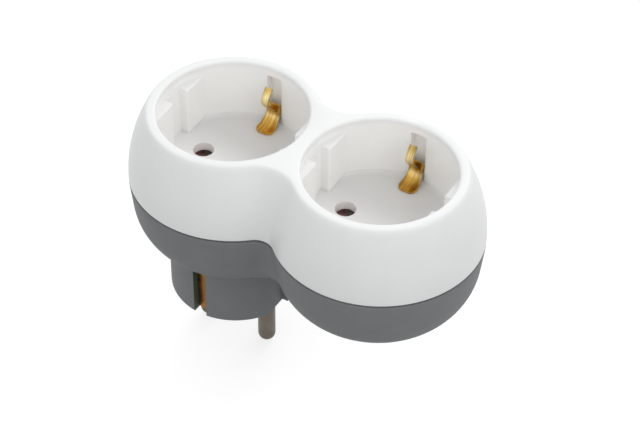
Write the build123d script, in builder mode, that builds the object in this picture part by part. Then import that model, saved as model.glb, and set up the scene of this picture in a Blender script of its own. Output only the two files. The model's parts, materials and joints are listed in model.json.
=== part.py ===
from build123d import *
import os
from math import atan2, cos, degrees, radians, sin

# Two-way earthed mains adapter: one plug below, two round recessed sockets above.
# Sizes are millimetres. The origin is the middle of the plug's front face, +Z points out of the
# sockets, and +X runs from socket a, which stands over the plug, to socket b.

# Plug and socket interface
pin_spacing = 19.0
pin_diameter = 4.8
pin_length = 19.0
recess_diameter = 39.0
recess_depth = 17.5
recess_flats = 32.4  # across the two guide flats, along the pin line
recess_floor_round = 0.6
guide_drop = 3.1  # rim to the level top of the guide flats
guide_groove_width = 6.2
guide_groove_depth = 2.4
guide_edge_round = 0.6
pin_hole_diameter = 5.4
pin_hole_chamfer = 0.15
plug_diameter = 35.4
plug_height = 18.5
plug_flats = 31.2
plug_rib_width = 3.4
plug_rib_inset = 0.4
plug_edge_round = 0.5
plug_floor = 4.0
plug_side_wall = 1.8

# Body shape
socket_pitch = 43.0
body_height = 39.5
seam_drop = 20.0
lobe_diameter = 54.6
rim_diameter = 43.9
rim_round = 1.0
mouth_round = 0.6
waist_depth = 8.27  # how far the waist lies inside the sides of the lobes
shell_wall = 1.8
deck_thickness = 2.0
cup_wall = 1.6
floor_thickness = 2.5
base_side = 7.6  # height of the straight side below the seam
base_lean = 0.77  # how far that side leans in
base_flat_diameter = 40.7
base_flat_round = 1.2
base_wall = 2.0
base_floor = 2.0
seam_gap = 0.65
seam_edge_round = 0.3
seam_gap_depth = 0.6
lip_height = 2.0
lip_wall = 1.1
lip_root = 2.5
lip_clearance = 0.15

# Earth contacts
strip = 0.6  # sheet brass of the earth pieces
clip_riser_width = 3.2
clip_riser_inset = 4.2  # from the plate back to the riser through the floor
clip_foot_reach = 6.0  # from the plate to the front of the foot
clip_foot_width = 5.6
clip_foot_round = 1.8
clip_foot_gap = 0.15
clip_sweep = 4.4  # bend from the foot up into the plate
clip_plate_inset = 0.3  # recess wall to the middle of the upright plate
clip_plate_width = 4.0
clip_plate_height = 6.2
clip_root_height = 3.8  # floor to where the tongue leaves the plate
clip_bulge = 5.1  # how far the tongue bows in from the plate
clip_bulge_height = 9.5
clip_tip_inset = 2.3
clip_height = 12.9
clip_tongue_width = 2.3
clip_tongue_thickness = 0.9
clip_bend = 2.4
clip_slot_width = 4.4
clip_slot_height = 14.6
clip_slot_room = 2.0  # behind the plate
clip_slot_backing = 1.1
clip_floor_play = 0.3
earth_slot_width = 3.8
earth_slot_depth = 2.8
earth_slot_height = 16.0
earth_slot_play = 0.15
strap_lift = 0.5
strap_bend = 0.9
riser_reach = 11.2
link_width = 4.0
link_inset = 1.1  # gap between the link and the contact sleeves

# Live parts
bar_thickness = 0.8
bar_height = 5.0
bar_offset = 5.8  # pin line to the middle of a busbar
bar_lift = 2.0  # chamber floor to a busbar's lower edge
bar_overhang = 2.0
sleeve_wall = 0.6
sleeve_play = 0.05
sleeve_lift = 3.5  # chamber floor to the foot of a sleeve
sleeve_flare = 0.5
sleeve_slit = 0.8
sleeve_collar = 3.0  # unslit height at the foot of a sleeve
solder_gap = 0.05
shank_diameter = 4.2
collar_diameter = 7.4
collar_height = 1.5
stem_diameter = 3.2
stem_height = 3.0

# Shutters and their carriers
shutter_thickness = 2.1
shutter_travel = 6.0
shutter_window = 6.4
shutter_margin = 1.6
shutter_play = 0.3
ramp_land = 0.3  # what is left of the plate at the low end of a ramp
rail_wall = 1.2
carrier_thickness = 1.8
carrier_hole = 6.0
carrier_leg = 2.6
leg_pad_height = 4.4
peg_width = 1.8
peg_depth = 1.2
spring_diameter = 1.9
spring_wire = 0.35
spring_turns = 5
spring_play = 0.1

# Case screws
screw_diameter = 3.0
screw_head_diameter = 5.0
screw_head_height = 2.0
screw_engagement = 10.0
screw_play = 0.05
screw_post_wall = 1.0
screw_post_gap = 0.3
screw_head_room = 0.25
screw_seat_lift = 5.2
drive_width = 0.7
drive_depth = 1.1

# Levels and centres worked out from the sizes above
pin_x = pin_spacing / 2
pin_radius = pin_diameter / 2
recess_radius = recess_diameter / 2
lobe_radius = lobe_diameter / 2
rim_radius = rim_diameter / 2
plug_radius = plug_diameter / 2
half_pitch = socket_pitch / 2
rim_z = plug_height + body_height
seam_z = rim_z - seam_drop
floor_z = rim_z - recess_depth
floor_under_z = floor_z - floor_thickness
chamber_z = plug_height + base_floor
sockets = {"a": 0.0, "b": socket_pitch}
socket_axes = [(x, 0, 0) for x in sockets.values()]
on_base = (Align.CENTER, Align.CENTER, Align.MIN)

# The waist between the lobes is a hollow round, tangent to both lobes.
waist_half_width = lobe_radius - waist_depth
waist_round = (half_pitch**2 + waist_half_width**2 - lobe_radius**2) / (2 * waist_depth)
waist_y = waist_half_width + waist_round
waist_angle = degrees(atan2(waist_y, half_pitch))
waist_axis = Axis((half_pitch, waist_y, 0), (0, 0, 1))
waist_heading = radians(waist_angle)
base_flat_radius = base_flat_diameter / 2
core_radius = waist_half_width - (lobe_radius - base_flat_radius) - base_wall  # flat at the waist
wall_plane = Plane(
    origin=(0, 0, 0),
    x_dir=(cos(waist_heading), sin(waist_heading), 0),
    z_dir=(sin(waist_heading), -cos(waist_heading), 0),
)

# The case screws stand in the waist, inside the lip.
screw_radius = screw_diameter / 2
screw_post_radius = screw_radius + screw_post_wall
screw_bore_radius = screw_head_diameter / 2 + screw_head_room
screw_boss_radius = screw_bore_radius + screw_post_wall
lip_radius = lobe_radius - shell_wall - lip_clearance
lip_inner_radius = lip_radius - lip_wall
screw_y = waist_half_width - (lobe_radius - lip_inner_radius) - screw_post_gap - screw_post_radius
screw_seat_z = chamber_z + screw_seat_lift
screw_places = [(half_pitch, -screw_y, 0), (half_pitch, screw_y, 0)]

# Shutter, carrier and contact levels, from the recess floor down, with the clip's riser
clip_plate_reach = recess_radius - clip_plate_inset
clip_reach = clip_plate_reach - clip_riser_inset
shutter_top_z = floor_under_z - shutter_play
shutter_under_z = shutter_top_z - shutter_thickness
carrier_top_z = shutter_under_z - shutter_play
carrier_under_z = carrier_top_z - carrier_thickness
shutter_half_length = pin_x + shutter_window / 2 + shutter_margin
shutter_low_y = -pin_radius - shutter_margin - shutter_play
shutter_high_y = shutter_travel + shutter_window / 2 + shutter_margin
rail_x = shutter_half_length + shutter_play
carrier_half_length = rail_x + rail_wall
sleeve_radius = pin_radius + sleeve_play
sleeve_outer = sleeve_radius + sleeve_wall
link_y = sleeve_outer + sleeve_flare + link_inset + link_width / 2
carrier_depth = 2 * (link_y + link_width / 2 + shutter_play + carrier_leg)
leg_x = carrier_half_length - carrier_leg / 2
leg_y = carrier_depth / 2 - carrier_leg / 2
leg_places = [(sx * leg_x, sy * leg_y) for sx in (-1, 1) for sy in (-1, 1)]
leg_pad_z = chamber_z + leg_pad_height
pocket_width = peg_width + 2 * shutter_play
pocket_low_y = shutter_low_y + shutter_margin
pocket_high_y = shutter_high_y - shutter_margin
peg_y = pocket_low_y + shutter_play
bridge_z = carrier_under_z - shutter_play - strip / 2
link_z = bridge_z - strip
bar_z = chamber_z + bar_lift
sleeve_top_z = carrier_under_z - shutter_play
sleeve_foot_z = chamber_z + sleeve_lift

os.makedirs("parts", exist_ok=True)


def finish(builder, name):
    """Label a finished piece and write it."""
    builder.part.label = name
    export_step(builder.part, f"parts/{name}.step")


def lobed_solid(section):
    """Sweep one half section round both lobes and through the waist, over a plain core."""
    extent = section.bounding_box()
    with BuildPart() as body:
        with BuildSketch(wall_plane):
            add(section)
        revolve(axis=Axis.Z, revolution_arc=2 * (180 - waist_angle))
        mirror(about=Plane.YZ.offset(half_pitch))
        with BuildSketch(wall_plane):
            add(section)
            Rectangle(2 * core_radius, 4 * rim_z, mode=Mode.SUBTRACT)
        waist_wall = revolve(axis=waist_axis, revolution_arc=2 * (90 - waist_angle))
        mirror(waist_wall, about=Plane.XZ)
        with Locations((half_pitch, 0, extent.min.Y)):
            Box(socket_pitch, 2 * core_radius, extent.size.Y, align=on_base)
    return body.part


def dome_section(inset, top_drop, edge_round):
    """Half section of the upper shell: upright at the seam, then one arc in to the rim."""
    top_z = rim_z - top_drop
    foot = (lobe_radius - inset, seam_z)
    shoulder = (rim_radius - inset, top_z)
    with BuildSketch() as section:
        with BuildLine():
            Polyline((0, top_z), (0, seam_z), foot)
            TangentArc(foot, shoulder, tangent=(0, 1))
            Line(shoulder, (0, top_z))
        make_face()
        if edge_round:
            fillet(section.vertices().group_by(Axis.Y)[-1].sort_by(Axis.X)[-1], edge_round)
            fillet(section.vertices().group_by(Axis.Y)[0].sort_by(Axis.X)[-1], seam_edge_round)
    return section.sketch


def bowl_section(points, flat_radius, flat_z, edge_round):
    """Half section of the base: the wall points with a leaning side, then one arc to the flat."""
    with BuildSketch() as section:
        with BuildLine():
            Polyline((0, flat_z), (0, points[0][1]), *points)
            TangentArc(points[-1], (flat_radius, flat_z), tangent=(-base_lean, -base_side))
            Line((flat_radius, flat_z), (0, flat_z))
        make_face()
        fillet(section.vertices().group_by(Axis.Y)[0].sort_by(Axis.X)[-1], base_flat_round)
        if edge_round:
            fillet(section.vertices().sort_by(Axis.X)[-1], edge_round)
    return section.sketch


# Guide flats on the pin line: a chord across the recess with a level top and a central groove
guide_x = recess_flats / 2
guide_top_z = rim_z - guide_drop
with BuildPart() as guide_flats:
    with BuildSketch(Plane.XY.offset(floor_under_z)):
        with Locations((guide_x, 0)):
            Rectangle(
                recess_radius + cup_wall - guide_x,
                recess_diameter,
                align=(Align.MIN, Align.CENTER),
            )
        with Locations((guide_x, 0)):
            Rectangle(2 * guide_groove_depth, guide_groove_width, mode=Mode.SUBTRACT)
    extrude(amount=guide_top_z - floor_under_z)
    inner_edges = guide_flats.faces().filter_by(Axis.X).sort_by(Axis.X)[:2].edges()
    fillet(inner_edges.filter_by(Axis.Z) + inner_edges.group_by(Axis.Z)[-1], guide_edge_round)
    mirror(about=Plane.YZ)
    Cylinder(recess_radius + cup_wall / 2, 2 * rim_z, mode=Mode.INTERSECT)

# Screw posts of the upper shell, from the seam up into the wall and the deck
with BuildPart() as top_posts:
    with Locations(*[(x, y, seam_z) for x, y, z in screw_places]):
        Cylinder(screw_post_radius, seam_drop, align=on_base)
    add(lobed_solid(dome_section(shell_wall / 2, deck_thickness / 2, 0)), mode=Mode.INTERSECT)

# Upper shell: deck, outer wall, two cups with their floors, screw posts and earth clip slots
floor_edge = (recess_radius - recess_floor_round, floor_z)
wall_foot = (recess_radius, floor_z + recess_floor_round)
slot_back_y = clip_plate_reach + strip / 2 + clip_slot_room
slot_top_z = floor_z + clip_slot_height
backing_width = clip_slot_width + 2 * cup_wall
backing_depth = 2 * (slot_back_y + clip_slot_backing)
with BuildPart() as top_housing:
    add(lobed_solid(dome_section(0, 0, rim_round)))
    add(lobed_solid(dome_section(shell_wall, deck_thickness, 0)), mode=Mode.SUBTRACT)
    with Locations(*socket_axes):
        with Locations((0, 0, floor_under_z)):
            Cylinder(
                recess_radius + cup_wall,
                rim_z - deck_thickness / 2 - floor_under_z,
                align=on_base,
            )
            Box(
                backing_width,
                backing_depth,
                slot_top_z + clip_slot_backing - floor_under_z,
                align=on_base,
            )
    add(top_posts.part)
    with Locations(*[(x, y, seam_z) for x, y, z in screw_places]):
        Cylinder(
            screw_radius + screw_play,
            2 * (screw_engagement + screw_play),
            mode=Mode.SUBTRACT,
        )
    for axis_x in sockets.values():
        with BuildSketch(Plane.XZ.shift_origin((axis_x, 0, 0))):
            with BuildLine():
                Polyline((0, rim_z + rim_round), (0, floor_z), floor_edge)
                RadiusArc(floor_edge, wall_foot, -recess_floor_round)
                Line(wall_foot, (recess_radius, rim_z - mouth_round))
                RadiusArc(
                    (recess_radius, rim_z - mouth_round),
                    (recess_radius + mouth_round, rim_z),
                    mouth_round,
                )
                Polyline(
                    (recess_radius + mouth_round, rim_z),
                    (recess_radius + mouth_round, rim_z + rim_round),
                    (0, rim_z + rim_round),
                )
            make_face()
        revolve(axis=Axis((axis_x, 0, 0), (0, 0, 1)), mode=Mode.SUBTRACT)
    with Locations(*socket_axes):
        add(guide_flats.part)
        with PolarLocations(0, 2, start_angle=90):
            with Locations((clip_reach, 0, floor_z)):
                Box(
                    strip + 2 * clip_floor_play,
                    clip_riser_width + 2 * clip_floor_play,
                    3 * floor_thickness,
                    mode=Mode.SUBTRACT,
                )
            with Locations((slot_back_y, 0, floor_z)):
                Box(
                    slot_back_y - clip_reach,
                    clip_slot_width,
                    clip_slot_height,
                    align=(Align.MAX, Align.CENTER, Align.MIN),
                    mode=Mode.SUBTRACT,
                )
        with Locations((0, 0, floor_under_z)):
            with GridLocations(pin_spacing, 0, 2, 1):
                Cylinder(pin_hole_diameter / 2, 3 * floor_thickness, mode=Mode.SUBTRACT)
        with Locations((0, 0, floor_z - pin_hole_chamfer)):
            with GridLocations(pin_spacing, 0, 2, 1):
                Cone(
                    pin_hole_diameter / 2,
                    pin_hole_diameter / 2 + 2 * pin_hole_chamfer,
                    2 * pin_hole_chamfer,
                    align=on_base,
                    mode=Mode.SUBTRACT,
                )
finish(top_housing, "top_housing")

# Base: a lobed bowl with the locating lip, the plug below socket a, and seats for what it holds
gap_radius = lobe_radius - seam_gap_depth
gap_z = seam_z - seam_gap
lip_top_z = seam_z + lip_height
side_z = gap_z - base_side
wall_radius = lobe_radius - base_wall
root_z = gap_z - lip_root
base_block = lobed_solid(
    bowl_section(
        [
            (lip_radius, lip_top_z),
            (lip_radius, seam_z),
            (gap_radius, seam_z),
            (gap_radius, gap_z),
            (lobe_radius, gap_z),
            (lobe_radius - base_lean, side_z),
        ],
        base_flat_radius,
        plug_height,
        seam_edge_round,
    )
)
base_chamber = lobed_solid(
    bowl_section(
        [
            (lip_inner_radius, lip_top_z),
            (lip_inner_radius, root_z),
            (wall_radius, root_z - (wall_radius - lip_inner_radius)),
            (wall_radius - base_lean, side_z),
        ],
        base_flat_radius - base_wall,
        chamber_z,
        0,
    )
)

# Screw posts, pads under the carrier legs and cradles under the busbars, trimmed to the bowl
cradle_width = 2 * bar_height
with BuildPart() as base_seats:
    with Locations(*screw_places):
        Cylinder(screw_post_radius, seam_z, align=on_base)
        Cylinder(screw_boss_radius, screw_seat_z + screw_post_wall, align=on_base)
    with Locations(*[(x + lx, ly, 0) for x in sockets.values() for lx, ly in leg_places]):
        Box(carrier_leg + base_wall, carrier_leg + base_wall, leg_pad_z, align=on_base)
    with Locations((half_pitch, 0, 0)):
        with GridLocations(0, 2 * bar_offset, 1, 2):
            Box(cradle_width, base_wall, bar_z, align=on_base)
    add(base_block, mode=Mode.INTERSECT)

plug_cavity_radius = plug_flats / 2 - plug_side_wall
earth_slot_floor_y = plug_radius - earth_slot_depth
strap_y = earth_slot_floor_y + strip / 2
with BuildPart() as plug_body:
    with BuildSketch():
        Circle(plug_radius)
        Rectangle(plug_flats, plug_diameter, mode=Mode.INTERSECT)
    extrude(amount=chamber_z)
    fillet(plug_body.edges().group_by(Axis.Z)[0], plug_edge_round)
    with Locations((0, 0, plug_edge_round)):
        Box(
            plug_diameter - 2 * plug_rib_inset,
            plug_rib_width,
            chamber_z - plug_edge_round,
            align=on_base,
        )

with BuildPart() as base_housing:
    add(base_block)
    add(plug_body.part)
    add(base_chamber, mode=Mode.SUBTRACT)
    with Locations((0, 0, plug_floor)):
        Cylinder(plug_cavity_radius, chamber_z, align=on_base, mode=Mode.SUBTRACT)
    add(base_seats.part)
    with Locations(*[(x, 0, gap_z) for x in sockets.values()]):
        Box(
            backing_width + 2 * lip_clearance,
            backing_depth + 2 * lip_clearance,
            seam_gap + lip_height,
            align=on_base,
            mode=Mode.SUBTRACT,
        )
    with PolarLocations(0, 2, start_angle=90):
        with Locations((earth_slot_floor_y, 0, 0)):
            Box(
                earth_slot_depth,
                earth_slot_width,
                earth_slot_height,
                align=(Align.MIN, Align.CENTER, Align.MIN),
                mode=Mode.SUBTRACT,
            )
        with Locations((strap_y, 0, 0)):
            Box(
                strip + 2 * earth_slot_play,
                earth_slot_width,
                chamber_z + base_floor,
                align=on_base,
                mode=Mode.SUBTRACT,
            )
    with GridLocations(pin_spacing, 0, 2, 1):
        Cylinder(shank_diameter / 2, 3 * plug_floor, mode=Mode.SUBTRACT)
    with Locations(*screw_places):
        Cylinder(
            screw_radius + screw_head_room,
            seam_z + lip_height,
            align=on_base,
            mode=Mode.SUBTRACT,
        )
        Cylinder(screw_bore_radius, screw_seat_z, align=on_base, mode=Mode.SUBTRACT)
finish(base_housing, "base_housing")


# Plug pins: round nose, thinner shank through the plug floor, collar and riveted stem
def make_pin(name, x):
    collar_z = plug_floor + collar_height
    with BuildPart() as pin:
        with BuildSketch(Plane.XZ.shift_origin((x, 0, 0))):
            with BuildLine():
                Line((0, -pin_length), (0, collar_z + stem_height))
                Polyline(
                    (0, collar_z + stem_height),
                    (stem_diameter / 2, collar_z + stem_height),
                    (stem_diameter / 2, collar_z),
                    (collar_diameter / 2, collar_z),
                    (collar_diameter / 2, plug_floor),
                    (shank_diameter / 2, plug_floor),
                    (shank_diameter / 2, 0),
                    (pin_radius, 0),
                    (pin_radius, pin_radius - pin_length),
                )
                RadiusArc((pin_radius, pin_radius - pin_length), (0, -pin_length), pin_radius)
            make_face()
        revolve(axis=Axis((x, 0, 0), (0, 0, 1)))
    finish(pin, name)


make_pin("plug_pin_line", -pin_x)
make_pin("plug_pin_neutral", pin_x)


# Busbars: a strip on edge with a foot on its plug pin and a tab to each contact sleeve
def make_busbar(name, pin_side):
    bar_y = pin_side * bar_offset
    plug_x = pin_side * pin_x
    foot_z = plug_floor + collar_height
    foot_width = collar_diameter / 2
    sleeve_xs = [x + plug_x for x in sockets.values()]
    bar_ends = (sleeve_xs[0] - bar_overhang, sleeve_xs[-1] + bar_overhang)
    with BuildPart() as bar:
        with Locations(((bar_ends[0] + bar_ends[1]) / 2, bar_y, bar_z)):
            Box(bar_ends[1] - bar_ends[0], bar_thickness, bar_height, align=on_base)
        with Locations((plug_x, bar_y, foot_z)):
            Box(foot_width, bar_thickness, bar_z + bar_height - foot_z, align=on_base)
        with BuildSketch(Plane.XY.offset(foot_z)):
            with Locations((plug_x, bar_y / 2)):
                Rectangle(foot_width, bar_offset + bar_thickness)
            with Locations((plug_x, 0)):
                Circle(collar_diameter / 2)
                Circle(stem_diameter / 2 + solder_gap, mode=Mode.SUBTRACT)
        extrude(amount=bar_thickness)
        with BuildSketch(Plane.XY.offset(bar_z + bar_height - bar_thickness)):
            for sleeve_x in sleeve_xs:
                with Locations((sleeve_x, bar_y / 2)):
                    Rectangle(2 * bar_overhang, bar_offset)
                with Locations((sleeve_x, 0)):
                    Circle(sleeve_outer + solder_gap, mode=Mode.SUBTRACT)
        extrude(amount=bar_thickness)
    finish(bar, name)


make_busbar("line_busbar", -1)
make_busbar("neutral_busbar", 1)


# Contact sleeves: a split tube with a flared mouth under each pin hole
def make_sleeve(name, x):
    with BuildPart() as sleeve:
        with BuildSketch(Plane.XZ.shift_origin((x, 0, 0))):
            with BuildLine():
                Polyline(
                    (sleeve_radius, sleeve_foot_z),
                    (sleeve_outer, sleeve_foot_z),
                    (sleeve_outer, sleeve_top_z - 2 * sleeve_flare),
                    (sleeve_outer + sleeve_flare, sleeve_top_z),
                    (sleeve_radius + sleeve_flare, sleeve_top_z),
                    (sleeve_radius, sleeve_top_z - 2 * sleeve_flare),
                    close=True,
                )
            make_face()
        revolve(axis=Axis((x, 0, 0), (0, 0, 1)))
        with Locations((x, 0, sleeve_foot_z + sleeve_collar)):
            Box(
                4 * sleeve_outer,
                sleeve_slit,
                sleeve_top_z - sleeve_foot_z,
                align=on_base,
                mode=Mode.SUBTRACT,
            )
    finish(sleeve, name)


for letter, axis_x in sockets.items():
    make_sleeve(f"contact_sleeve_line_{letter}", axis_x - pin_x)
    make_sleeve(f"contact_sleeve_neutral_{letter}", axis_x + pin_x)


# Earth clip: a foot on the recess floor that sweeps up into a plate, with a bowed tongue in front
side_plane = Plane(origin=(0, 0, 0), x_dir=(0, 1, 0), z_dir=(1, 0, 0))
foot_z = floor_z + clip_foot_gap + strip / 2
foot_front_y = clip_plate_reach - clip_foot_reach
plate_top_z = floor_z + clip_plate_height
with BuildPart() as earth_clip:
    with BuildSketch(side_plane):
        with BuildLine():
            FilletPolyline(
                (foot_front_y, foot_z),
                (clip_plate_reach, foot_z),
                (clip_plate_reach, plate_top_z),
                radius=clip_sweep,
            )
        trace(line_width=strip)
    extrude(amount=clip_foot_width, both=True)
    with BuildSketch(Plane.XY.offset(floor_z)) as foot_plan:
        with BuildLine():
            Polyline(
                (-clip_foot_width / 2, foot_front_y),
                (clip_foot_width / 2, foot_front_y),
                (clip_plate_width / 2, clip_plate_reach - strip),
                (clip_plate_width / 2, clip_plate_reach + strip),
                (-clip_plate_width / 2, clip_plate_reach + strip),
                (-clip_plate_width / 2, clip_plate_reach - strip),
                close=True,
            )
        make_face()
        fillet(foot_plan.vertices().group_by(Axis.Y)[0], clip_foot_round)
    extrude(amount=clip_plate_height, mode=Mode.INTERSECT)
    with BuildLine(side_plane) as tongue_path:
        FilletPolyline(
            (clip_plate_reach, floor_z + clip_root_height),
            (clip_plate_reach - clip_bulge, floor_z + clip_bulge_height),
            (clip_plate_reach - clip_tip_inset, floor_z + clip_height),
            radius=clip_bend,
        )
    with BuildSketch(Plane(tongue_path.line @ 0, x_dir=(1, 0, 0), z_dir=tongue_path.line % 0)):
        Ellipse(clip_tongue_width / 2, clip_tongue_thickness / 2)
    sweep(path=tongue_path.line)


# Earth brackets: a strip bridge below the shutters that rises through the floor into both clips
def make_earth_bracket(name, x):
    with BuildPart() as bracket:
        with BuildSketch(side_plane.offset(x)):
            with BuildLine():
                FilletPolyline(
                    (0, bridge_z),
                    (clip_reach, bridge_z),
                    (clip_reach, foot_z),
                    radius=strap_bend,
                )
            trace(line_width=strip)
        extrude(amount=clip_riser_width / 2, both=True)
        with Locations((x, 0, 0)):
            add(earth_clip.part)
        mirror(about=Plane.XZ)
    finish(bracket, name)


for letter, axis_x in sockets.items():
    make_earth_bracket(f"earth_bracket_{letter}", axis_x)

# Link strip that joins the earth brackets below their bridges
with BuildPart() as earth_link:
    with Locations((half_pitch, link_y, link_z)):
        Box(socket_pitch + clip_riser_width, link_width, strip)
    with Locations(*screw_places):
        Cylinder(screw_post_radius + lip_clearance, 2 * rim_z, mode=Mode.SUBTRACT)
finish(earth_link, "earth_link")

# Plug earth strap: a bridge across the plug with a leg in each side slot and a riser to the link
strap_z = chamber_z + strap_lift + strip / 2
strap_width = earth_slot_width - 2 * earth_slot_play
tab_z = link_z - strip
with BuildPart() as plug_earth_strap:
    with BuildSketch(Plane.YZ):
        with BuildLine():
            FilletPolyline(
                (-strap_y, plug_edge_round),
                (-strap_y, strap_z),
                (strap_y, strap_z),
                (strap_y, plug_edge_round),
                radius=strap_bend,
            )
        trace(line_width=strip)
        with BuildLine():
            FilletPolyline(
                (riser_reach, strap_z),
                (riser_reach, tab_z),
                (link_y - link_width / 2, tab_z),
                radius=strap_bend,
            )
        trace(line_width=strip)
    extrude(amount=strap_width / 2, both=True)
finish(plug_earth_strap, "plug_earth_strap")


# Shutter carriers: a plate on four legs with side rails for the shutter and a spring peg
def make_carrier(name, x):
    with BuildPart() as carrier:
        with BuildSketch(Plane.XY.offset(carrier_under_z)):
            with Locations((x, 0)):
                Rectangle(2 * carrier_half_length, carrier_depth)
                with GridLocations(pin_spacing, 0, 2, 1):
                    Circle(carrier_hole / 2, mode=Mode.SUBTRACT)
        extrude(amount=carrier_thickness)
        with Locations((x, 0, carrier_top_z)):
            with GridLocations(2 * rail_x + rail_wall, 0, 2, 1):
                Box(rail_wall, carrier_depth, floor_under_z - carrier_top_z, align=on_base)
            with Locations((0, peg_y + peg_depth / 2, 0)):
                Box(peg_width, peg_depth, shutter_top_z - carrier_top_z, align=on_base)
        with Locations(*[(x + lx, ly, leg_pad_z) for lx, ly in leg_places]):
            Box(carrier_leg, carrier_leg, carrier_under_z - leg_pad_z, align=on_base)
    finish(carrier, name)


# Shutters: a plate with two windows beside two ramps, and a pocket for the return spring
def make_shutter(name, x):
    depth = shutter_high_y - shutter_low_y
    ramp_low_z = shutter_under_z + ramp_land
    window_y = shutter_travel
    with BuildPart() as shutter:
        with BuildSketch(Plane.XY.offset(shutter_under_z)):
            with Locations((x, (shutter_low_y + shutter_high_y) / 2)):
                RectangleRounded(2 * shutter_half_length, depth, shutter_margin)
            with Locations((x, (pocket_low_y + pocket_high_y) / 2)):
                Rectangle(pocket_width, pocket_high_y - pocket_low_y, mode=Mode.SUBTRACT)
            with Locations((x, window_y)):
                with GridLocations(pin_spacing, 0, 2, 1):
                    Circle(shutter_window / 2, mode=Mode.SUBTRACT)
        extrude(amount=shutter_thickness)
        for side in (-1, 1):
            ramp_x = x + side * pin_x
            with BuildSketch(Plane(origin=(ramp_x, 0, 0), x_dir=(0, 1, 0), z_dir=(1, 0, 0))):
                with BuildLine():
                    Polyline(
                        (-pin_radius, shutter_top_z),
                        (window_y, shutter_top_z),
                        (window_y, ramp_low_z),
                        (window_y - shutter_window / 2, ramp_low_z),
                        close=True,
                    )
                make_face()
            extrude(amount=shutter_window / 2, both=True, mode=Mode.SUBTRACT)
    finish(shutter, name)


# Return springs: a small coil between the peg and the far end of the shutter's pocket
def make_spring(name, x):
    spring_start = peg_y + peg_depth + spring_play + spring_wire / 2
    spring_end = pocket_high_y - spring_play - spring_wire / 2
    spring_z = (carrier_top_z + floor_under_z) / 2
    coil_radius = (spring_diameter - spring_wire) / 2
    with BuildPart() as spring:
        with BuildLine() as coil:
            Helix(
                pitch=(spring_end - spring_start) / spring_turns,
                height=spring_end - spring_start,
                radius=coil_radius,
                center=(x, spring_start, spring_z),
                direction=(0, 1, 0),
            )
        with BuildSketch(coil.line ^ 0):
            Circle(spring_wire / 2)
        sweep(path=coil.line, is_frenet=True)
    finish(spring, name)


for letter, axis_x in sockets.items():
    make_carrier(f"shutter_carrier_{letter}", axis_x)
    make_shutter(f"shutter_{letter}", axis_x)
    make_spring(f"shutter_spring_{letter}", axis_x)


# Case screws: driven up from the underside through the base posts into the upper shell
def make_screw(name, place):
    head_z = screw_seat_z - screw_head_height
    with BuildPart() as screw:
        with Locations((place[0], place[1], head_z)):
            Cylinder(screw_head_diameter / 2, screw_head_height, align=on_base)
            Cylinder(screw_radius, seam_z + screw_engagement - head_z, align=on_base)
            Box(screw_head_diameter, drive_width, 2 * drive_depth, mode=Mode.SUBTRACT)
            Box(drive_width, screw_head_diameter, 2 * drive_depth, mode=Mode.SUBTRACT)
    finish(screw, name)


make_screw("case_screw_front", screw_places[0])
make_screw("case_screw_back", screw_places[1])
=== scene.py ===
import json
import math

import bpy
from mathutils import Matrix, Vector


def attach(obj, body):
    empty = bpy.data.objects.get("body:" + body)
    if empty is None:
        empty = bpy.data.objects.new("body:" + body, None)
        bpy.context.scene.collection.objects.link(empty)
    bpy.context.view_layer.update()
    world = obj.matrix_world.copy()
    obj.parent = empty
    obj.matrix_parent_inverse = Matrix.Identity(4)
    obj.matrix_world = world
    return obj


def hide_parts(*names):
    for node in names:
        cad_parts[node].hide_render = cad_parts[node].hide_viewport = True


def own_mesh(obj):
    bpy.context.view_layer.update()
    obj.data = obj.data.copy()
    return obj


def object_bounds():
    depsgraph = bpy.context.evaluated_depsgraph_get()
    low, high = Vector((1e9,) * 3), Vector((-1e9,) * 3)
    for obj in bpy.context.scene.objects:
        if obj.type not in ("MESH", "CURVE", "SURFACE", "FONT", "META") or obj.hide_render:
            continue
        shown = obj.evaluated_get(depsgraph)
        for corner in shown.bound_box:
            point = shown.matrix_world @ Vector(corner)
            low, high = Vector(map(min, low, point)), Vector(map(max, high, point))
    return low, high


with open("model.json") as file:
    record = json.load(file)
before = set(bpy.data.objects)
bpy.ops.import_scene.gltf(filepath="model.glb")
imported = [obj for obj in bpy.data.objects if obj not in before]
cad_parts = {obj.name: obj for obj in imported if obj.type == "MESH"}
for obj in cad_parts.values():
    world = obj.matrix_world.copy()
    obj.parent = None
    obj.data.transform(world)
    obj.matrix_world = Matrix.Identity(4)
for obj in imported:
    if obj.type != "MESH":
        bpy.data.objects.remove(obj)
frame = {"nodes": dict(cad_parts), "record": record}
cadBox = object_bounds()
nodes = frame["nodes"]
record = frame["record"]
print("frame loaded:", len(nodes), "nodes")

mm = 0.001
mounts = {mount["name"]: mount["pos_m"] for mount in record["mounts"]}
pitch = mounts["socket_b_pins"][0]  # from socket a to socket b, along x
cupFloorZ = mounts["socket_a_pins"][2]
rimZ = cadBox[1].z

cameraFit = {  # fitted to the rims and floors of both recesses
    "azimuth": 31.02,
    "elevation": 42.494,
    "roll": 0.795,
    "distance": 476.82 * mm,
    "target": (38.908 * mm, -21.419 * mm, 58.107 * mm),  # front of socket b's rim
    "focalPixels": 2006.3,
    "imageWidth": 640,
    "sensor": 36.0,
    "clip": (0.01, 20),
}


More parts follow.
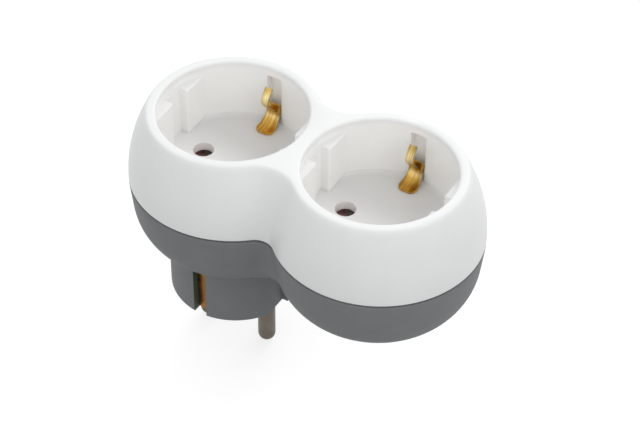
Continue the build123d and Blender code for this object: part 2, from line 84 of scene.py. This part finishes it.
def makeCamera(fit):
    azimuth, elevation, roll = (math.radians(fit[key]) for key in ("azimuth", "elevation", "roll"))
    level = math.cos(elevation)
    back = Vector((math.sin(azimuth) * level, -math.cos(azimuth) * level, math.sin(elevation)))
    across = Vector((math.cos(azimuth), math.sin(azimuth), 0))
    above = back.cross(across)
    right = across * math.cos(roll) + above * math.sin(roll)
    up = above * math.cos(roll) - across * math.sin(roll)
    data = bpy.data.cameras.new("photoCamera")
    data.sensor_width = fit["sensor"]
    data.lens = fit["focalPixels"] * fit["sensor"] / fit["imageWidth"]
    data.clip_start, data.clip_end = fit["clip"]
    camera = bpy.data.objects.new("photoCamera", data)
    bpy.context.scene.collection.objects.link(camera)
    place = Vector(fit["target"]) + back * fit["distance"]
    turn = Matrix((right, up, back)).transposed().to_4x4()
    camera.matrix_world = Matrix.Translation(place) @ turn
    bpy.context.scene.camera = camera


makeCamera(cameraFit)
print("camera placed")

noiseSpan = (0.3, 0.7)  # where nearly all of a noise lies


# small node helpers
def startMaterial(name):
    mat = bpy.data.materials.new(name)
    mat.use_nodes = True
    tree = mat.node_tree
    coords = tree.nodes.new("ShaderNodeTexCoord").outputs["Object"]
    return mat, tree, tree.nodes["Principled BSDF"], coords


def addNoise(tree, coords, scale, detail=3.0, stretch=(1, 1, 1)):
    mapping = tree.nodes.new("ShaderNodeMapping")
    mapping.inputs["Scale"].default_value = stretch
    noise = tree.nodes.new("ShaderNodeTexNoise")
    noise.inputs["Scale"].default_value = scale
    noise.inputs["Detail"].default_value = detail
    tree.links.new(coords, mapping.inputs["Vector"])
    tree.links.new(mapping.outputs["Vector"], noise.inputs["Vector"])
    return noise.outputs["Fac"]


def addSpan(tree, value, start, end, low=0.0, high=1.0, kind="SMOOTHSTEP"):
    span = tree.nodes.new("ShaderNodeMapRange")
    span.interpolation_type = kind
    for key, number in (("From Min", start), ("From Max", end), ("To Min", low), ("To Max", high)):
        span.inputs[key].default_value = number
    tree.links.new(value, span.inputs["Value"])
    return span.outputs["Result"]


def addRange(tree, noise, low, high):
    return addSpan(tree, noise, *noiseSpan, low, high, "LINEAR")


def addTint(tree, noise, dark, light):
    ramp = tree.nodes.new("ShaderNodeValToRGB")
    for point, place, tone in zip(ramp.color_ramp.elements, noiseSpan, (dark, light)):
        point.position = place
        point.color = (*tone, 1)
    tree.links.new(noise, ramp.inputs["Fac"])
    return ramp.outputs["Color"]


def addMath(tree, operation, first, second=None):
    step = tree.nodes.new("ShaderNodeMath")
    step.operation = operation
    for socket, value in zip(step.inputs, (first, second)):
        if isinstance(value, (int, float)):
            socket.default_value = value
        elif value is not None:
            tree.links.new(value, socket)
    return step.outputs["Value"]


def addAll(tree, *masks):  # one where every mask is one
    product = masks[0]
    for mask in masks[1:]:
        product = addMath(tree, "MULTIPLY", product, mask)
    return product


def addReach(tree, x, y):  # distance from the axis
    squares = [addMath(tree, "MULTIPLY", side, side) for side in (x, y)]
    return addMath(tree, "SQRT", addMath(tree, "ADD", *squares))


def addMix(tree, amount, first, second, blend="MIX"):
    mix = tree.nodes.new("ShaderNodeMix")
    mix.data_type = "RGBA"
    mix.blend_type = blend
    sockets = (mix.inputs[0], mix.inputs[6], mix.inputs[7])  # factor and the two colours
    for socket, value in zip(sockets, (amount, first, second)):
        if isinstance(value, tuple):
            socket.default_value = (*value, 1)
        elif isinstance(value, (int, float)):
            socket.default_value = value
        else:
            tree.links.new(value, socket)
    return mix.outputs[2]


def splitCoords(tree, coords):
    split = tree.nodes.new("ShaderNodeSeparateXYZ")
    tree.links.new(coords, split.inputs["Vector"])
    return split.outputs


def addBump(tree, value, strength, depth, shader):
    bump = tree.nodes.new("ShaderNodeBump")
    bump.inputs["Strength"].default_value = strength
    bump.inputs["Distance"].default_value = depth
    tree.links.new(value, bump.inputs["Height"])
    tree.links.new(bump.outputs["Normal"], shader.inputs["Normal"])


def finishPlastic(tree, coords, shader, cloud, tone, look):
    tree.links.new(tone, shader.inputs["Base Color"])
    tree.links.new(addRange(tree, cloud, *look["rough"]), shader.inputs["Roughness"])
    grain = addNoise(tree, coords, look["grainScale"], look["grainDetail"])
    addBump(tree, grain, look["grainStrength"], look["grainDepth"], shader)
    shader.inputs["IOR"].default_value = look["ior"]
    shader.inputs["Specular IOR Level"].default_value = look["shine"]


whiteShell = {
    "dark": (0.858, 0.871, 0.872),
    "light": (0.888, 0.898, 0.897),
    "cloudScale": 90,
    # painted highlight: the rim's top and roundings get a lighter tone for the light falling on them
    "rim": (0.913, 0.921, 0.922),
    "rimSpan": (rimZ - 1.6 * mm, rimZ - 0.3 * mm),
    "rough": (0.30, 0.38),
    "ior": 1.53,
    "shine": 0.36,
    "grainScale": 2600,
    "grainDetail": 2,
    "grainStrength": 0.25,
    "grainDepth": 0.012 * mm,
}
# painted light and shade inside the recesses: the tones below stand in for how light falls there
cupPaintedShading = {
    "reach": (22.2 * mm, 21.8 * mm),  # from the socket's axis, out past the clip slots
    "underRim": (rimZ - 0.2 * mm, rimZ - 2.5 * mm),
    "wall": (0.972, 0.972, 0.962),  # painted light: lighter than outside, standing in for light bounced around the recess
    "wallFoot": (cupFloorZ, cupFloorZ + 1.0 * mm),
    "floor": ((0.978, 0.975, 0.968), (0.735, 0.727, 0.717)),  # painted shade: light near side, darker far side
    "floorSpan": (-11 * mm, 8 * mm),
    "floorTilt": 0.25,  # turns the painted shade of the far side towards +x
    "floorShift": 2.0 * mm,  # painted shade: socket b's floor is a little darker
    "corner": (17.5 * mm, 19.0 * mm),  # painted light: where the floor takes on some of the wall's tone
    "cornerShare": 0.5,
    # painted shade on upward faces such as the guide tops
    "guideTop": (0.86, 0.86, 0.85),
    "facingUp": (0.6, 0.9),  # painted shade by facing: z of the normal, from wall to guide top
    # painted light: the clip slots get a lighter tone to lift their shade
    "clipSlot": (0.995, 0.985, 0.975),
    "clipSlotHalfWidth": 2.3 * mm,
    # painted light: the pin holes' walls under the floor get a lighter tone to lift their shade
    "pinHole": (0.995, 0.985, 0.975),
    "pinHoleSpan": (cupFloorZ - 0.1 * mm, cupFloorZ - 0.5 * mm),
}


# paints light and shade into the recesses' tone by place and by facing
def addCupPaintedShading(tree, coords, look):
    x, y, z = splitCoords(tree, coords)
    atSecond = addMath(tree, "GREATER_THAN", x, pitch / 2)
    ownX = addMath(tree, "SUBTRACT", x, addMath(tree, "MULTIPLY", atSecond, pitch))  # own socket's x
    # painted shade, darker towards the floor's far side
    depth = addMath(tree, "ADD", y, addMath(tree, "MULTIPLY", ownX, look["floorTilt"]))
    depth = addMath(tree, "ADD", depth, addMath(tree, "MULTIPLY", atSecond, look["floorShift"]))
    floor = addMix(tree, addSpan(tree, depth, *look["floorSpan"]), *look["floor"])
    facing = splitCoords(tree, coords.node.outputs["Normal"])["Z"]
    wall = addMix(tree, addSpan(tree, facing, *look["facingUp"]), look["wall"], look["guideTop"])
    inSlot = addMath(tree, "LESS_THAN", addMath(tree, "ABSOLUTE", ownX), look["clipSlotHalfWidth"])
    wall = addMix(tree, inSlot, wall, look["clipSlot"])
    reach = addReach(tree, ownX, y)
    # painted light in the floor's outer ring
    corner = addSpan(tree, reach, *look["corner"], 0.0, look["cornerShare"])
    overFloor = addMath(tree, "MAXIMUM", addSpan(tree, z, *look["wallFoot"]), corner)
    tone = addMix(tree, overFloor, floor, wall)
    tone = addMix(tree, addSpan(tree, z, *look["pinHoleSpan"]), tone, look["pinHole"])
    inCup = addAll(tree, addSpan(tree, reach, *look["reach"]), addSpan(tree, z, *look["underRim"]))
    return inCup, tone


def whitePlastic(look, cup):
    mat, tree, shader, coords = startMaterial("whiteMouldedPlastic")
    cloud = addNoise(tree, coords, look["cloudScale"])
    tone = addTint(tree, cloud, look["dark"], look["light"])
    inCup, innerPaintedShading = addCupPaintedShading(tree, coords, cup)
    tone = addMix(tree, inCup, tone, innerPaintedShading)
    # painted highlight on the rim
    rimHighlightMask = addSpan(tree, splitCoords(tree, coords)["Z"], *look["rimSpan"])
    tone = addMix(tree, rimHighlightMask, tone, look["rim"])
    finishPlastic(tree, coords, shader, cloud, tone, look)
    return mat


greyBase = {
    "dark": (0.182, 0.190, 0.196),
    "light": (0.204, 0.213, 0.219),
    "cloudScale": 120,
    "lowRound": (0.88, 0.88, 0.88),  # painted shade: share of the tone left where the bowl turns under
    "lowRoundSpan": (27.0 * mm, 23.0 * mm),
    "bowlBottom": 18.45 * mm,
    "slot": (0.084, 0.108, 0.082),  # painted shade inside the plug's side slots
    "slotHalfWidth": 1.96 * mm,
    "slotReach": 13.5 * mm,
    "slotHeights": (0.1 * mm, 16.4 * mm),
    "rough": (0.52, 0.62),
    "ior": 1.5,
    "shine": 0.28,
    "grainScale": 3400,
    "grainDetail": 3,
    "grainStrength": 0.4,
    "grainDepth": 0.02 * mm,
}


def greyPlastic(look):
    mat, tree, shader, coords = startMaterial("greySparkedPlastic")
    cloud = addNoise(tree, coords, look["cloudScale"])
    tone = addTint(tree, cloud, look["dark"], look["light"])
    x, y, z = splitCoords(tree, coords)
    # painted shade where the bowl turns under
    onBowl = addMath(tree, "GREATER_THAN", z, look["bowlBottom"])
    underShadeMask = addAll(tree, addSpan(tree, z, *look["lowRoundSpan"]), onBowl)
    tone = addMix(tree, underShadeMask, tone, look["lowRound"], "MULTIPLY")
    # painted shade inside the plug's side slots
    slotBottom, slotTop = look["slotHeights"]
    inSlot = addAll(
        tree,
        addMath(tree, "LESS_THAN", addMath(tree, "ABSOLUTE", x), look["slotHalfWidth"]),
        addMath(tree, "GREATER_THAN", addMath(tree, "ABSOLUTE", y), look["slotReach"]),
        addMath(tree, "GREATER_THAN", z, slotBottom),
        addMath(tree, "LESS_THAN", z, slotTop),
    )
    tone = addMix(tree, inSlot, tone, look["slot"])
    finishPlastic(tree, coords, shader, cloud, tone, look)
    return mat


# painted light: the shutters' tone is lighter than their own dark maroon, as they lie in shade deep in
# the pin holes
lightenedMaroonShutter = {
    "dark": (0.38, 0.226, 0.215),
    "light": (0.45, 0.27, 0.258),
    "cloudScale": 150,
    "rough": (0.40, 0.52),
    "ior": 1.5,
    "shine": 0.5,
    "grainScale": 3000,
    "grainDetail": 2,
    "grainStrength": 0.3,
    "grainDepth": 0.015 * mm,
}
ivoryCarrier = {
    **lightenedMaroonShutter,
    "dark": (0.60, 0.56, 0.46),
    "light": (0.68, 0.64, 0.54),
    "rough": (0.42, 0.52),
}


def innerPlastic(name, look):
    mat, tree, shader, coords = startMaterial(name)
    cloud = addNoise(tree, coords, look["cloudScale"])
    tone = addTint(tree, cloud, look["dark"], look["light"])
    finishPlastic(tree, coords, shader, cloud, tone, look)
    return mat


brassClip = {
    "tones": (  # brass tone by height over the recess floor, with painted highlight and shade bands standing in for reflections
        (-1.0 * mm, (0.50, 0.30, 0.09)),
        (0.25 * mm, (0.80, 0.43, 0.075)),
        (0.9 * mm, (0.60, 0.335, 0.066)),
        (1.8 * mm, (0.58, 0.35, 0.078)),
        (2.8 * mm, (0.82, 0.59, 0.25)),
        (3.7 * mm, (0.50, 0.30, 0.06)),
        (5.0 * mm, (0.74, 0.47, 0.12)),
        (7.2 * mm, (0.62, 0.42, 0.14)),
        (10.2 * mm, (0.95, 0.77, 0.41)),
        (12.9 * mm, (0.56, 0.39, 0.125)),
    ),
    "rampStart": -2.0 * mm,
    "rampLength": 16.0 * mm,
    "wobble": (-0.02, 0.02),  # how far the tones stray, as a share of that length
    "wobbleScale": 500,
    # painted reflections: dark and light streaks in the tone; the same lines also give a bump
    "streak": (0.52, 1.22),
    "streakScale": 1500,
    "streakStretch": (1, 0.06, 0.06),
    "rough": (0.26, 0.40),
    "lineStrength": 0.5,
    "lineDepth": 0.02 * mm,
}


def addPaintedHeightTones(tree, height, look):
    ramp = tree.nodes.new("ShaderNodeValToRGB")
    points = ramp.color_ramp.elements
    for number, (level, tone) in enumerate(look["tones"]):
        place = (level - look["rampStart"]) / look["rampLength"]
        point = points[number] if number < 2 else points.new(place)  # a new ramp has two points
        point.position = place
        point.color = (*tone, 1)
    tree.links.new(height, ramp.inputs["Fac"])
    return ramp.outputs["Color"]


def clipBrass(look):
    mat, tree, shader, coords = startMaterial("bentBrassStrip")
    # painted highlights and reflections by height, times painted reflection streaks
    overStart = addMath(tree, "SUBTRACT", splitCoords(tree, coords)["Z"], cupFloorZ + look["rampStart"])
    height = addMath(tree, "DIVIDE", overStart, look["rampLength"])
    wobble = addNoise(tree, coords, look["wobbleScale"])
    height = addMath(tree, "ADD", height, addRange(tree, wobble, *look["wobble"]))
    lines = addNoise(tree, coords, look["streakScale"], stretch=look["streakStretch"])
    streak = tree.nodes.new("ShaderNodeCombineColor")
    shade = addRange(tree, lines, *look["streak"])
    for socket in streak.inputs:
        tree.links.new(shade, socket)
    tone = addMix(tree, 1.0, addPaintedHeightTones(tree, height, look), streak.outputs["Color"], "MULTIPLY")
    tree.links.new(tone, shader.inputs["Base Color"])
    tree.links.new(addRange(tree, wobble, *look["rough"]), shader.inputs["Roughness"])
    addBump(tree, lines, look["lineStrength"], look["lineDepth"], shader)
    shader.inputs["Metallic"].default_value = 1.0
    return mat


contactBrass = {
    "dark": (0.52, 0.33, 0.10),
    "light": (0.72, 0.50, 0.20),
    "cloudScale": 260,
    "cloudDetail": 4,
    "rough": (0.28, 0.42),
    "lineScale": 900,
    "lineDetail": 2,
    "lineStretch": (1, 1, 0.1),
    "lineStrength": 0.3,
    "lineDepth": 0.01 * mm,
}
# copper-brown hue, painted darker than clean brass: painted shade standing in for the dark surroundings
# its reflections would show
darkenedStrapBrass = {
    **contactBrass,
    "dark": (0.21, 0.088, 0.021),
    "light": (0.365, 0.175, 0.055),
    "rough": (0.24, 0.36),
    "lineStretch": (1, 1, 0.08),
}
# painted shade: the pins' tone is darker than clean nickel, standing in for the dark surroundings their
# reflections would show
darkenedNickelPin = {
    **contactBrass,
    "dark": (0.135, 0.118, 0.096),
    "light": (0.20, 0.178, 0.148),
    "rough": (0.26, 0.38),
    "lineScale": 700,
    "lineStretch": (0.1, 0.1, 1),
    "lineDepth": 0.008 * mm,
}
springWire = {
    **contactBrass,
    "dark": (0.46, 0.46, 0.47),
    "light": (0.62, 0.62, 0.63),
    "rough": (0.22, 0.34),
    "lineScale": 1200,
    "lineStretch": (1, 0.2, 1),
    "lineDepth": 0.006 * mm,
}
screwSteel = {**springWire, "lineStretch": (1, 1, 1)}


def rolledMetal(name, look):
    mat, tree, shader, coords = startMaterial(name)
    cloud = addNoise(tree, coords, look["cloudScale"], look["cloudDetail"])
    tree.links.new(addTint(tree, cloud, look["dark"], look["light"]), shader.inputs["Base Color"])
    tree.links.new(addRange(tree, cloud, *look["rough"]), shader.inputs["Roughness"])
    lines = addNoise(tree, coords, look["lineScale"], look["lineDetail"], look["lineStretch"])
    addBump(tree, lines, look["lineStrength"], look["lineDepth"], shader)
    shader.inputs["Metallic"].default_value = 1.0
    return mat


finishes = {  # by the record's material slots
    "shell_white": whitePlastic(whiteShell, cupPaintedShading),
    "base_grey": greyPlastic(greyBase),
    "shutter_maroon": innerPlastic("maroonPlastic", lightenedMaroonShutter),
    "carrier_ivory": innerPlastic("ivoryPlastic", ivoryCarrier),
    "earth_brass": clipBrass(brassClip),
    "contact_brass": rolledMetal("plainBrassStrip", contactBrass),
    "pin_nickel": rolledMetal("dullNickelPlate", darkenedNickelPin),
    "spring_steel": rolledMetal("drawnSteelWire", springWire),
    "screw_steel": rolledMetal("zincPlatedSteel", screwSteel),
}
ownFinish = {"plug_earth_strap": rolledMetal("brownedBrassStrip", darkenedStrapBrass)}

shading = {
    "weld": 0.002 * mm,
    "sharpFrom": 32,  # degrees
}


def dressPiece(piece, finish):
    piece.data.materials.clear()
    piece.data.materials.append(finish)
    for face in piece.data.polygons:
        face.use_smooth = True
    weld = piece.modifiers.new("joinSeams", "WELD")
    weld.merge_threshold = shading["weld"]
    split = piece.modifiers.new("keepCorners", "EDGE_SPLIT")
    split.split_angle = math.radians(shading["sharpFrom"])


for part in record["subparts"]:
    dressPiece(nodes[part["node"]], ownFinish.get(part["node"], finishes[part["material_slot"]]))
print("finishes set:", len(finishes) + len(ownFinish))


# a return spring gets shorter as its shutter slides; here each is copied, dressed in steel and carried
# by the adapter, and the original hidden
def addSpring(node, joint):
    coil = bpy.data.objects.new(joint + "Coil", nodes[node].data.copy())
    bpy.context.scene.collection.objects.link(coil)
    dressPiece(coil, finishes["spring_steel"])
    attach(coil, "adapter")
    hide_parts(node)
    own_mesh(coil)


slides = record["behaviour"]["joints"]
for slide in slides:
    addSpring(slide["deforming_nodes"][0]["node"], slide["name"])
print("springs set:", len(slides))

studio = {
    "floorZ": cadBox[0].z,
    "floorSize": 6.0,
    "floorColor": (0.45, 0.45, 0.45),
    "floorRough": 0.9,
    "floorShine": 0.1,
    "floorSeen": 0.70,  # added for the camera, so that the lit floor is white and a shadow pale
    "floorMirrored": 0.55,  # the same for reflections
    "worldLight": 0.76,
    "lamps": {  # watts, size, place
        "rightSoftbox": (2.8, 0.9, (1.07, -0.27, 0.86)),
        "farSoftbox": (4.3, 0.9, (-0.14, 1.09, 0.86)),
        "frontSoftbox": (0.6, 0.9, (-0.27, -1.07, 0.86)),
    },
    "lampAim": (0.02, 0, 0.04),
}


def addSeen(tree):
    path = tree.nodes.new("ShaderNodeLightPath").outputs
    mirrored = addMath(tree, "MAXIMUM", path["Is Glossy Ray"], path["Is Transmission Ray"])
    return path["Is Camera Ray"], mirrored


def paleFloor(look):
    mat, tree, shader = startMaterial("paleFloor")[:3]
    shader.inputs["Base Color"].default_value = (*look["floorColor"], 1)
    shader.inputs["Roughness"].default_value = look["floorRough"]
    shader.inputs["Specular IOR Level"].default_value = look["floorShine"]
    seen, mirrored = addSeen(tree)
    seen = addMath(tree, "MULTIPLY", seen, look["floorSeen"])
    mirrored = addMath(tree, "MULTIPLY", mirrored, look["floorMirrored"])
    lift = tree.nodes.new("ShaderNodeEmission")
    both = tree.nodes.new("ShaderNodeAddShader")
    tree.links.new(addMath(tree, "MAXIMUM", seen, mirrored), lift.inputs["Strength"])
    tree.links.new(shader.outputs["BSDF"], both.inputs[0])
    tree.links.new(lift.outputs["Emission"], both.inputs[1])
    tree.links.new(both.outputs["Shader"], tree.nodes["Material Output"].inputs["Surface"])
    return mat


def makeFloor(look):
    half = look["floorSize"] / 2
    corners = [(-half, -half), (half, -half), (half, half), (-half, half)]
    mesh = bpy.data.meshes.new("studioFloor")
    mesh.from_pydata([(x, y, look["floorZ"]) for x, y in corners], [], [(0, 1, 2, 3)])
    mesh.materials.append(paleFloor(look))
    floor = bpy.data.objects.new("studioFloor", mesh)
    bpy.context.scene.collection.objects.link(floor)


def makeWorld(look):
    world = bpy.data.worlds.new("softRoom")
    world.use_nodes = True
    bpy.context.scene.world = world
    tree = world.node_tree
    background = tree.nodes["Background"]
    background.inputs["Color"].default_value = (1, 1, 1, 1)
    seen = addMath(tree, "MAXIMUM", *addSeen(tree))
    strength = addSpan(tree, seen, 0.0, 1.0, look["worldLight"], 1.0, "LINEAR")  # white where seen
    tree.links.new(strength, background.inputs["Strength"])


def addLamp(name, power, size, place, aim):
    lamp = bpy.data.lights.new(name, "AREA")
    lamp.energy = power
    lamp.size = size
    box = bpy.data.objects.new(name, lamp)
    box.location = place
    box.rotation_mode = "QUATERNION"
    box.rotation_quaternion = (Vector(aim) - box.location).to_track_quat("-Z", "Y")
    bpy.context.scene.collection.objects.link(box)


makeFloor(studio)
makeWorld(studio)
for name, (power, size, place) in studio["lamps"].items():
    addLamp(name, power, size, place, studio["lampAim"])
bpy.context.scene.view_settings.view_transform = "Standard"
print("studio lit")
